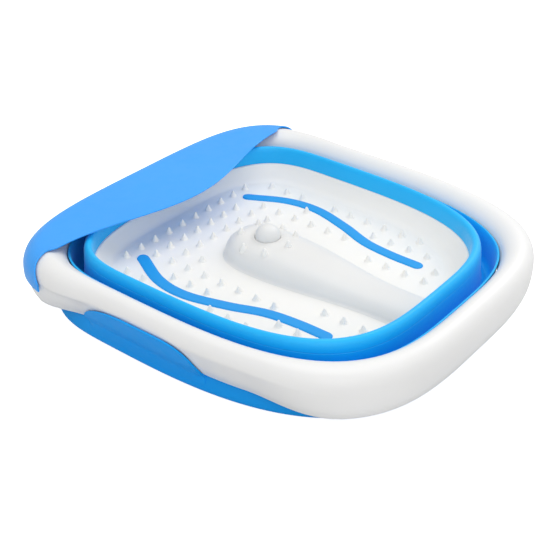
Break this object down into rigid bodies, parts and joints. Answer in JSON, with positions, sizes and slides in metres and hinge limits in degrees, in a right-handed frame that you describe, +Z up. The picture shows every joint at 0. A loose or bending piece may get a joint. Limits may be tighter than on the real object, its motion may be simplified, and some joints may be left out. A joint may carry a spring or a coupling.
{
  "type": "foot spa basin",
  "caption": "Collapsible foot spa basin, folded flat: white rim on a soft blue folding wall, cone-studded tray with mound and toe button, blue base, clip-on splash guard.",
  "frame": {"origin": "centre of the footprint, on the surface it stands on", "axes": "+Z up, +Y towards the toe end with the splash guard, +X to the right side seen from the heel end"},
  "size_m": [0.3552, 0.3796, 0.0676],
  "materials": {
    "rim_white": "satin white moulded ABS",
    "tray_white": "satin white moulded polypropylene",
    "base_blue": "satin mid-blue moulded ABS",
    "guard_sky": "satin sky-blue moulded polypropylene",
    "soft_blue": "satin blue thermoplastic elastomer",
    "dark_rubber": "matt black rubber",
    "steel": "plain bright steel",
    "heater_aluminium": "mill-finish sheet",
    "brass": "plain brass",
    "dark_plastic": "matt dark nylon",
    "board_green": "green solder-masked board"
  },
  "bodies": {
    "base": {"base_skirt": "base_blue", "base_bottom_cover": "base_blue", "rubber_foot_1": "dark_rubber", "rubber_foot_2": "dark_rubber", "rubber_foot_3": "dark_rubber", "rubber_foot_4": "dark_rubber", "cover_screw_1": "steel", "cover_screw_2": "steel", "cover_screw_3": "steel", "cover_screw_4": "steel", "cover_screw_5": "steel", "cover_screw_6": "steel", "cord_gland": "dark_rubber", "massage_tray": "tray_white", "massage_strip_left": "soft_blue", "massage_strip_right": "soft_blue", "tray_gasket": "dark_rubber", "folding_wall_inner_band": "soft_blue", "toe_button_spring": "steel", "switch_cage": "dark_plastic", "micro_switch": "dark_plastic", "vibration_motor": "steel", "motor_bracket": "steel", "motor_rubber_mount_1": "dark_rubber", "motor_rubber_mount_2": "dark_rubber", "heater_plate_left": "heater_aluminium", "heater_plate_right": "heater_aluminium", "thermostat": "dark_plastic", "thermal_fuse": "brass", "control_board": "board_green", "heater_relay": "dark_plastic", "supply_capacitor": "dark_plastic"},
    "rim": {"rim_shell": "rim_white", "rim_clamp_ring": "rim_white", "rim_screw_1": "steel", "rim_screw_2": "steel", "rim_screw_3": "steel", "rim_screw_4": "steel", "folding_wall_outer_band": "soft_blue"},
    "fold": {"folding_wall_middle_band": "soft_blue"},
    "guard": {"splash_guard": "guard_sky"},
    "toe_button": {"toe_button_cap": "tray_white", "toe_button_plunger": "dark_plastic", "toe_button_seal": "dark_rubber"},
    "motor_rotor": {"motor_shaft": "steel", "eccentric_weight": "brass"}
  },
  "joints": [
    {"name": "unfold", "type": "slide", "parent": "base", "child": "rim", "axis": [0, 0, 1], "range_m": [0, 0.07]},
    {"name": "fold_roll", "type": "slide", "parent": "base", "child": "fold", "axis": [0, 0, 1], "range_m": [0, 0.035]},
    {"name": "guard_lift_off", "type": "slide", "parent": "rim", "child": "guard", "axis": [0, 0, 1], "range_m": [0, 0.08]},
    {"name": "toe_press", "type": "slide", "parent": "base", "child": "toe_button", "axis": [0, 0, -1], "range_m": [0, 0.0025], "stiffness_N_per_m": 700, "springref_m": -0.001, "deforming": ["toe_button_spring"]},
    {"name": "rotor_spin", "type": "hinge", "parent": "base", "child": "motor_rotor", "pos_m": [0, -0.0438, 0.0204], "axis": [0, 1, 0], "continuous": true}
  ],
  "couplings": [
    {"joint": "fold_roll", "follows": "unfold", "ratio": 0.5}
  ]
}
